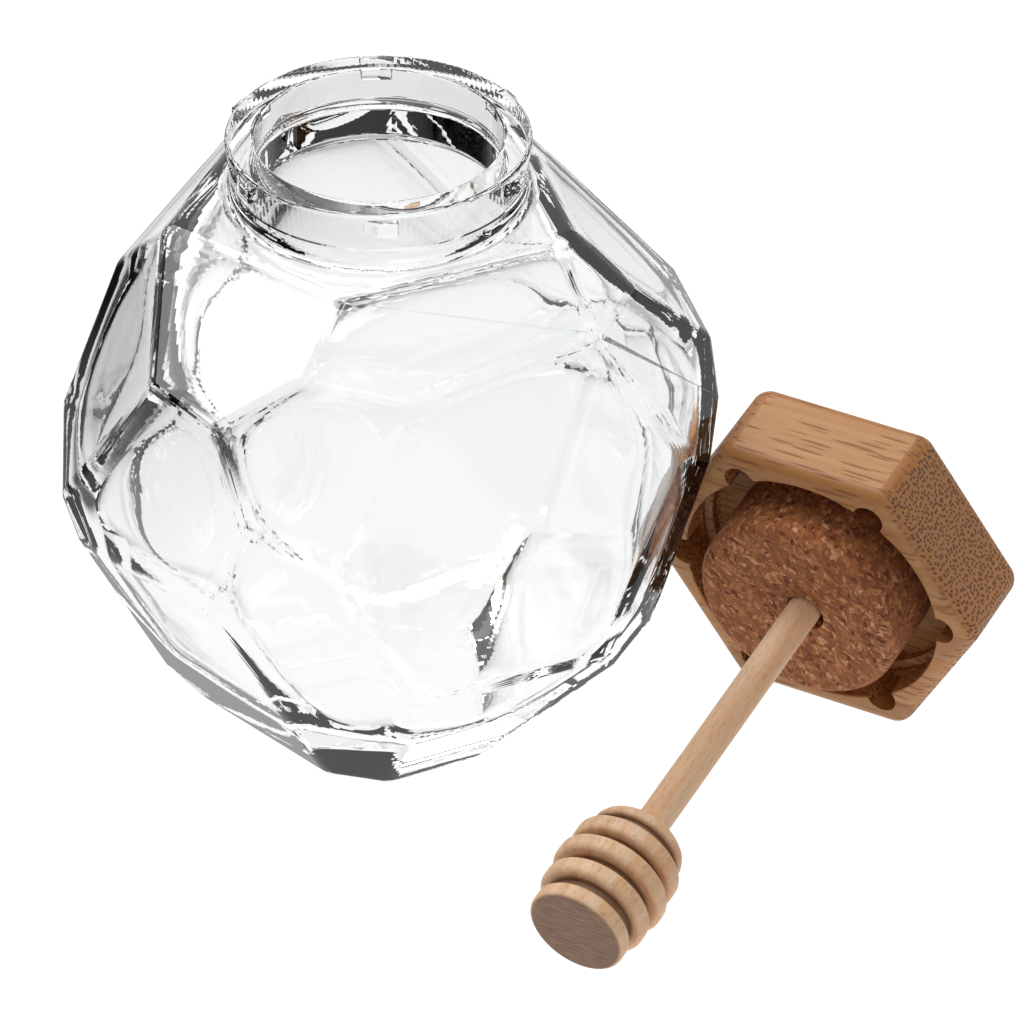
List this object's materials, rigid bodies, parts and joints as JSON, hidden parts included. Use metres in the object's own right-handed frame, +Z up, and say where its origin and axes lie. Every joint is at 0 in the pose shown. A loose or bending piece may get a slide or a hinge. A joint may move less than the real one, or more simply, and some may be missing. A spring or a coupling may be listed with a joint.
{
  "type": "glass honey pot",
  "caption": "Faceted ball-shaped clear glass honey pot, open and empty, with its hexagonal bamboo lid, cork plug and turned wooden dipper lying beside it.",
  "frame": {"origin": "centre of the neck axis on the pot's flat base", "axes": "X along the pot and the lid that lies beside it, to the right of the picture; Y away from the viewer; Z up the neck axis"},
  "size_m": [0.1518, 0.1273, 0.1046],
  "materials": {
    "clear_glass": "clear, fire-polished",
    "bamboo": "laminated, sanded and oiled",
    "cork_agglomerate": "ground, matt",
    "turned_wood": "turned and sanded"
  },
  "bodies": {
    "root": {"pot": "clear_glass", "lid": "bamboo", "cork": "cork_agglomerate", "dipper": "turned_wood"}
  },
  "joints": []
}
